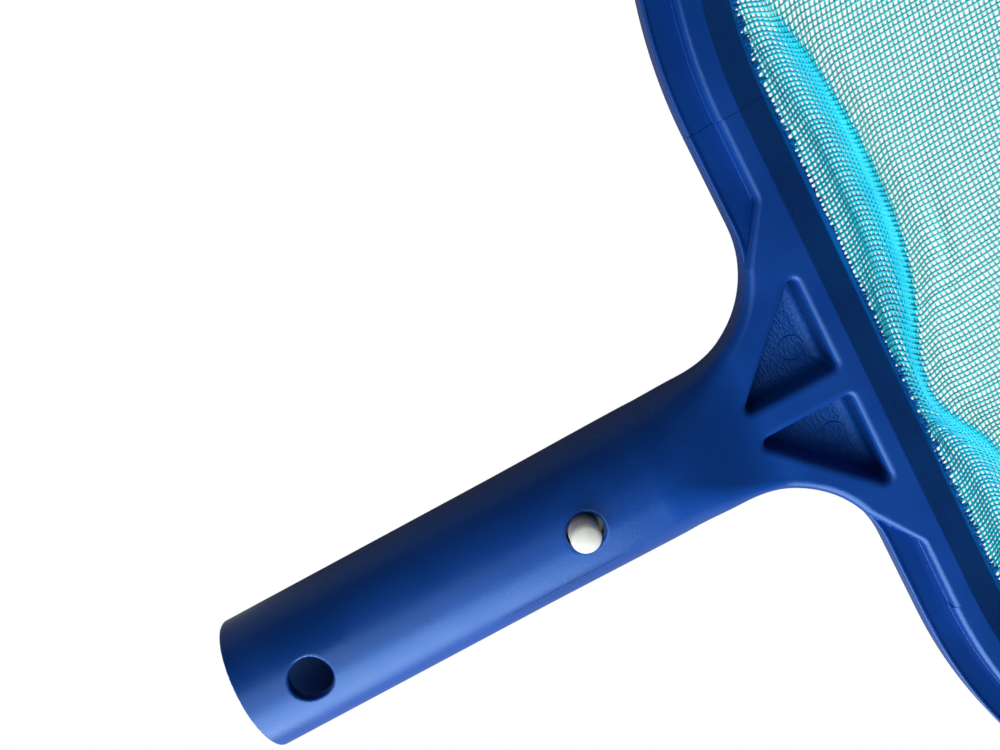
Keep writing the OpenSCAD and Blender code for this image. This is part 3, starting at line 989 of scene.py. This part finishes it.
def weft_paths():
    """Threads along Y, evenly spaced along the folded cloth, so they crowd where it is steep."""
    outline = np.array(NET_OUTLINE)
    half_w, front = outline[:, 1].max(), outline[:, 0].max()
    near_x = np.arange(THREAD_START_X, NET_EDGE_X + 120, NEAR_STEP)
    rows = {}
    for step in (FINE_STEP, COARSE_STEP):
        y = np.linspace(-half_w - 1, half_w + 1, round(2 * half_w / step))
        grid_x, grid_y = np.meshgrid(near_x, y)
        height = net_height(grid_x, grid_y)
        past = (grid_x - NET_EDGE_X - crease_line(grid_y))[:, 1:]
        bunched = 0.6 * smoothstep(-10, -4, past) * (past < 0) + 2.6 * np.exp(-((past + 0.8) / 0.95) ** 2)
        gathered = 1 + gather_strength(grid_y)[:, 1:] * bunched
        travel = np.cumsum(np.hypot(np.diff(height, axis=1), NEAR_STEP) * gathered, axis=1)
        travel = np.concatenate([np.zeros((len(y), 1)), travel], 1)
        spare = travel[:, -1].mean() - (near_x[-1] - near_x[0])
        rows[step] = (y, travel, spare)
    level = 0.4
    while level < front - NET_EDGE_X + 1.5 + spare:
        step = FINE_STEP if level < 34 else COARSE_STEP
        y, travel, spare = rows[step]
        x = np.array([np.interp(level, row, near_x) for row in travel])
        x = np.where(x > near_x[-1] - 0.3, THREAD_START_X + level - spare, x)
        if level > 30:
            share = smoothstep(30, 112, np.full_like(x, level))
            x = x * (1 - share) + (THREAD_START_X + level - spare) * share
        yield clip_to_net(x + 0.06 * np.sin(y / 19.0 + level) + RNG.normal(0, 0.04), y)
        level += PITCH


def clip_to_net(x, y):
    """The stretch of a thread that lies over the net or just inside its edge band."""
    depth = net_depth(x, y) + EDGE_OVERLAP
    inside = np.flatnonzero(depth > 0)
    if len(inside) < 2:
        return None
    first, last = inside[[0, -1]]
    ends = []
    for inner, outer in ((first, first - 1), (last, last + 1)):
        share = depth[inner] / (depth[inner] - depth[outer]) if 0 <= outer < len(x) else 0.0
        other = outer if 0 <= outer < len(x) else inner
        ends.append((x[inner] * (1 - share) + x[other] * share, y[inner] * (1 - share) + y[other] * share))
    keep = slice(first + 1, last) if last - first > 2 else slice(first, last + 1)
    return (np.concatenate([[ends[0][0]], x[keep], [ends[1][0]]]),
            np.concatenate([[ends[0][1]], y[keep], [ends[1][1]]]))


def build_net():
    points, faces, face_material, ends = [], [], [], []
    offset = 0
    corners = [(THREAD_W / 2, THREAD_T / 2), (-THREAD_W / 2, THREAD_T / 2),
               (-THREAD_W / 2, -THREAD_T / 2), (THREAD_W / 2, -THREAD_T / 2)]
    paths = [(0, path) for path in warp_paths()] + [(1, path) for path in weft_paths()]
    for family, path in paths:
        if path is None:
            continue
        x, y = path
        line = np.stack([x, y, net_height(x, y) + THREAD_T * (0.3 if family == 0 else -0.3)], 1)
        ends += [(line[0], line[0] - line[1]), (line[-1], line[-1] - line[-2])]
        tangent = np.gradient(line, axis=0)
        tangent /= np.linalg.norm(tangent, axis=1, keepdims=True)
        side = np.cross(tangent, [0, 0, 1.0])
        side /= np.linalg.norm(side, axis=1, keepdims=True)
        up = np.cross(side, tangent)
        past = (x - NET_EDGE_X - crease_line(y))[:, None]
        slack = gather_strength(y)[:, None] * (past < 0.8)
        full = 0.3 * fold_strength(y)[:, None] * (past < 0.8)
        swell = (1 + full + 0.2 * slack * smoothstep(-12, -3, past)
                 + 0.4 * slack * np.exp(-((past + 0.8) / 1.2) ** 2))
        rings = np.stack([line + swell * across * side + above * up for across, above in corners], 1)
        thread, quads = sweep(list(rings), False)
        points.append(thread)
        faces += [[v + offset for v in quad] for quad in quads]
        # Faces near the rim and in the fold take the near and fold copies of the cyan; the fold copies carry
        # painted light.
        middles = (line[:-1] + line[1:]) / 2
        past = middles[:, 0] - NET_EDGE_X - crease_line(middles[:, 1])
        strength = fold_strength(middles[:, 1])
        near = (past < 0.6) & (strength > RNG.uniform(0.1, 0.9))
        deep = 2.8 * (0.45 + 0.55 * np.exp(-((middles[:, 1] - 22) / 38) ** 2)) + RNG.normal(0, 0.25)
        painted_light_in_fold = near & (past > -np.minimum(deep, 0.6 * crease_line(middles[:, 1])))
        face_material += np.repeat(family + 2 * near + 2 * painted_light_in_fold, 4).tolist() + [family] * 2
        offset += len(thread)
    materials = [WARP, WEFT, WARP_NEAR, WEFT_NEAR, WARP_FOLD_PAINTED_LIGHT, WEFT_FOLD_PAINTED_LIGHT]
    net = mesh_object("net_threads", np.concatenate(points), faces, materials, face_material=face_material)
    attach(net, "skimmer")
    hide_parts("net_mesh")
    return ends


def build_teeth(ends):
    """Plastic that has crept a little way along each thread at the band's inner edge."""
    points, faces, offset = [], [], 0
    turns = np.radians(np.arange(0, 360, 60))
    for place, leaving, spread in [end + (spread,) for end in ends for spread in (0, TOOTH_SPREAD)]:
        inward = -leaving / np.linalg.norm(leaving)
        side = np.cross(inward, [0, 0, 1.0])
        side /= np.linalg.norm(side)
        up = np.cross(side, inward)
        place = place + side * RNG.uniform(-spread, spread)
        length = 0.3 + 1.1 * RNG.random() ** 2
        radius = TOOTH_R * (2.0 + 2.2 * RNG.random())
        rings = []
        for travel, width in ((0.0, 1.15), (EDGE_OVERLAP, 1.0), (EDGE_OVERLAP + 0.55 * length, 0.8),
                              (EDGE_OVERLAP + length, 0.3)):
            centre = place + inward * travel + up * 0.05
            rings.append(np.array([centre + radius * width * (math.cos(t) * side + 0.7 * math.sin(t) * up)
                                   for t in turns]))
        tooth, quads = sweep(rings, False)
        points.append(tooth)
        faces += [[v + offset for v in quad] for quad in quads]
        offset += len(tooth)
    teeth = mesh_object("band_teeth", np.concatenate(points), faces, [TOOTH_BLUE])
    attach(teeth, "skimmer")


add_camera()
add_studio()
build_handle()
build_hoop()
build_buttons()
build_clip()
build_band()
build_teeth(build_net())
